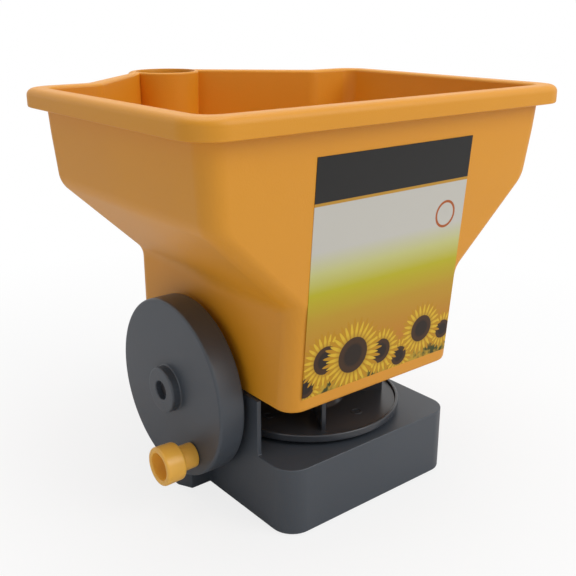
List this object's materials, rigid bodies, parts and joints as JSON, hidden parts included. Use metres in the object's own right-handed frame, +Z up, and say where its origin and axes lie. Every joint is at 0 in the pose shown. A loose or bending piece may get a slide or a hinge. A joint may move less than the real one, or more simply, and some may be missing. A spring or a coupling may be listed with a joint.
{
  "type": "garden spreader",
  "caption": "Hand-held crank garden spreader: open hopper with a hollow handle on a gearbox base, a crank wheel that turns a vaned spreading disc, and a sliding dosing shutter.",
  "frame": {"origin": "on the ground, under the middle of the whole object's box", "axes": "+Z up, +Y from the front of the rim to the handle, +X to the side away from the crank wheel"},
  "size_m": [0.225, 0.232, 0.207],
  "materials": {
    "orange_plastic": "satin moulded polypropylene with a fine grain",
    "knob_plastic": "semi-gloss moulded plastic",
    "grey_plastic": "satin moulded anthracite plastic",
    "printed_film": "printed self-adhesive film, bare of words",
    "mark_paint": "pale printed marks",
    "nylon": "natural nylon",
    "steel": "bright zinc-plated steel"
  },
  "bodies": {
    "housing": {"hopper": "orange_plastic", "front_label": "printed_film", "base_housing": "grey_plastic", "base_cover": "grey_plastic", "base_cover_screws": "steel", "hopper_screws": "steel", "handle_screw": "steel", "crank_axle": "steel", "crank_axle_screw": "steel", "crank_washer": "steel", "shaft_bushes": "nylon", "disc_bush": "nylon", "floor_bush": "nylon", "shutter_guide": "grey_plastic", "guide_screws": "steel", "scale_marks": "mark_paint"},
    "crank": {"crank_wheel": "grey_plastic", "knob_pin": "steel"},
    "knob": {"crank_knob": "knob_plastic"},
    "pinion_shaft": {"drive_shaft": "steel", "drive_pinion": "nylon", "shaft_mitre_gear": "nylon"},
    "disc": {"disc_mitre_gear": "nylon", "disc_shaft": "steel", "spreading_disc": "grey_plastic", "disc_collar": "steel", "agitator": "nylon", "agitator_pin": "steel"},
    "shutter": {"shutter_plate": "grey_plastic", "shutter_lever": "knob_plastic", "lever_screw": "steel"}
  },
  "joints": [
    {"name": "disc_spin", "type": "hinge", "parent": "housing", "child": "disc", "pos_m": [0, -0.0442, 0.04], "axis": [0, 0, 1], "continuous": true},
    {"name": "pinion_spin", "type": "hinge", "parent": "housing", "child": "pinion_shaft", "pos_m": [-0.04, -0.0442, 0.028], "axis": [1, 0, 0], "continuous": true},
    {"name": "crank_spin", "type": "hinge", "parent": "housing", "child": "crank", "pos_m": [-0.068, -0.0223, 0.05844], "axis": [1, 0, 0], "continuous": true},
    {"name": "knob_spin", "type": "hinge", "parent": "crank", "child": "knob", "pos_m": [-0.085, -0.04332, 0.02922], "axis": [1, 0, 0], "continuous": true},
    {"name": "shutter_slide", "type": "slide", "parent": "housing", "child": "shutter", "axis": [0, 1, 0], "range_m": [0, 0.02]}
  ],
  "couplings": [
    {"joint": "pinion_spin", "follows": "disc_spin", "ratio": 1},
    {"joint": "crank_spin", "follows": "disc_spin", "ratio": 0.13793}
  ]
}
